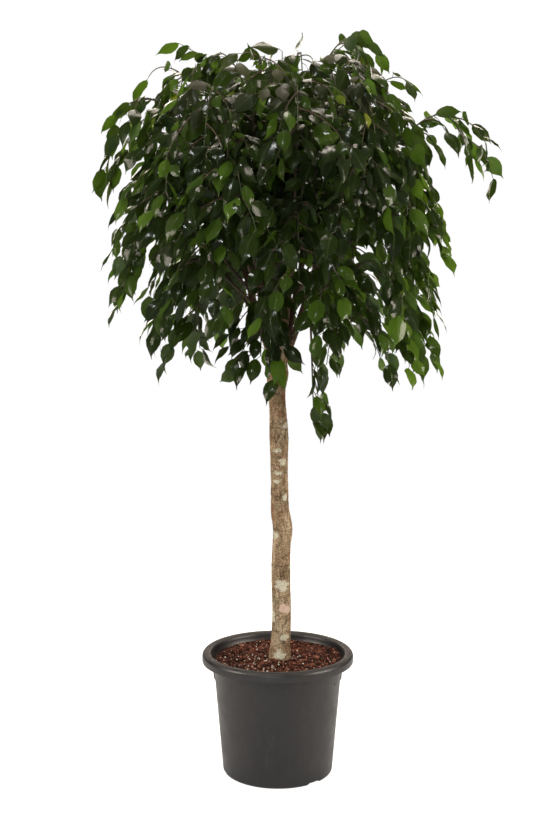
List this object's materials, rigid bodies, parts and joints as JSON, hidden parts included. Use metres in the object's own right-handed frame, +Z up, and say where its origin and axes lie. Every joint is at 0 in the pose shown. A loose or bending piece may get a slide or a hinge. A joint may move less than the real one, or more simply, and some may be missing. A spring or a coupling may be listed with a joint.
{
  "type": "weeping fig standard in a nursery pot",
  "caption": "Potted standard tree: a bare trunk carries a round head of arching, weeping leafy shoots over a round plastic pot filled with soil.",
  "frame": {"origin": "centre of the pot's underside, on the surface that the pot stands on", "axes": "+Z up along the trunk; the picture looks along +Y, with +X to its right"},
  "size_m": [0.9679, 0.9257, 1.9435],
  "materials": {
    "pot_plastic": "matte moulded dark grey",
    "soil": "loose coir and bark with white grains",
    "bark": "finely cracked bark with pale lichen",
    "foliage": "leathery semi-gloss leaf"
  },
  "bodies": {
    "root": {"pot": "pot_plastic", "soil": "soil", "trunk": "bark", "leafy_shoot_01": "foliage", "leafy_shoot_02": "foliage", "leafy_shoot_03": "foliage", "leafy_shoot_04": "foliage", "leafy_shoot_05": "foliage", "leafy_shoot_06": "foliage", "leafy_shoot_07": "foliage", "leafy_shoot_08": "foliage", "leafy_shoot_09": "foliage", "leafy_shoot_10": "foliage", "leafy_shoot_11": "foliage", "leafy_shoot_12": "foliage", "leafy_shoot_13": "foliage", "leafy_shoot_14": "foliage", "leafy_shoot_15": "foliage", "leafy_shoot_16": "foliage", "leafy_shoot_17": "foliage", "leafy_shoot_18": "foliage", "leafy_shoot_19": "foliage", "leafy_shoot_20": "foliage", "leafy_shoot_21": "foliage", "leafy_shoot_22": "foliage", "leafy_shoot_23": "foliage", "leafy_shoot_24": "foliage", "leafy_shoot_25": "foliage", "leafy_shoot_26": "foliage", "leafy_shoot_27": "foliage", "leafy_shoot_28": "foliage", "leafy_shoot_29": "foliage", "leafy_shoot_30": "foliage", "leafy_shoot_31": "foliage", "leafy_shoot_32": "foliage", "leafy_shoot_33": "foliage", "leafy_shoot_34": "foliage", "leafy_shoot_35": "foliage", "leafy_shoot_36": "foliage", "leafy_shoot_37": "foliage", "leafy_shoot_38": "foliage", "leafy_shoot_39": "foliage", "leafy_shoot_40": "foliage", "leafy_shoot_41": "foliage", "leafy_shoot_42": "foliage", "leafy_shoot_43": "foliage", "leafy_shoot_44": "foliage", "leafy_shoot_45": "foliage"}
  },
  "joints": []
}
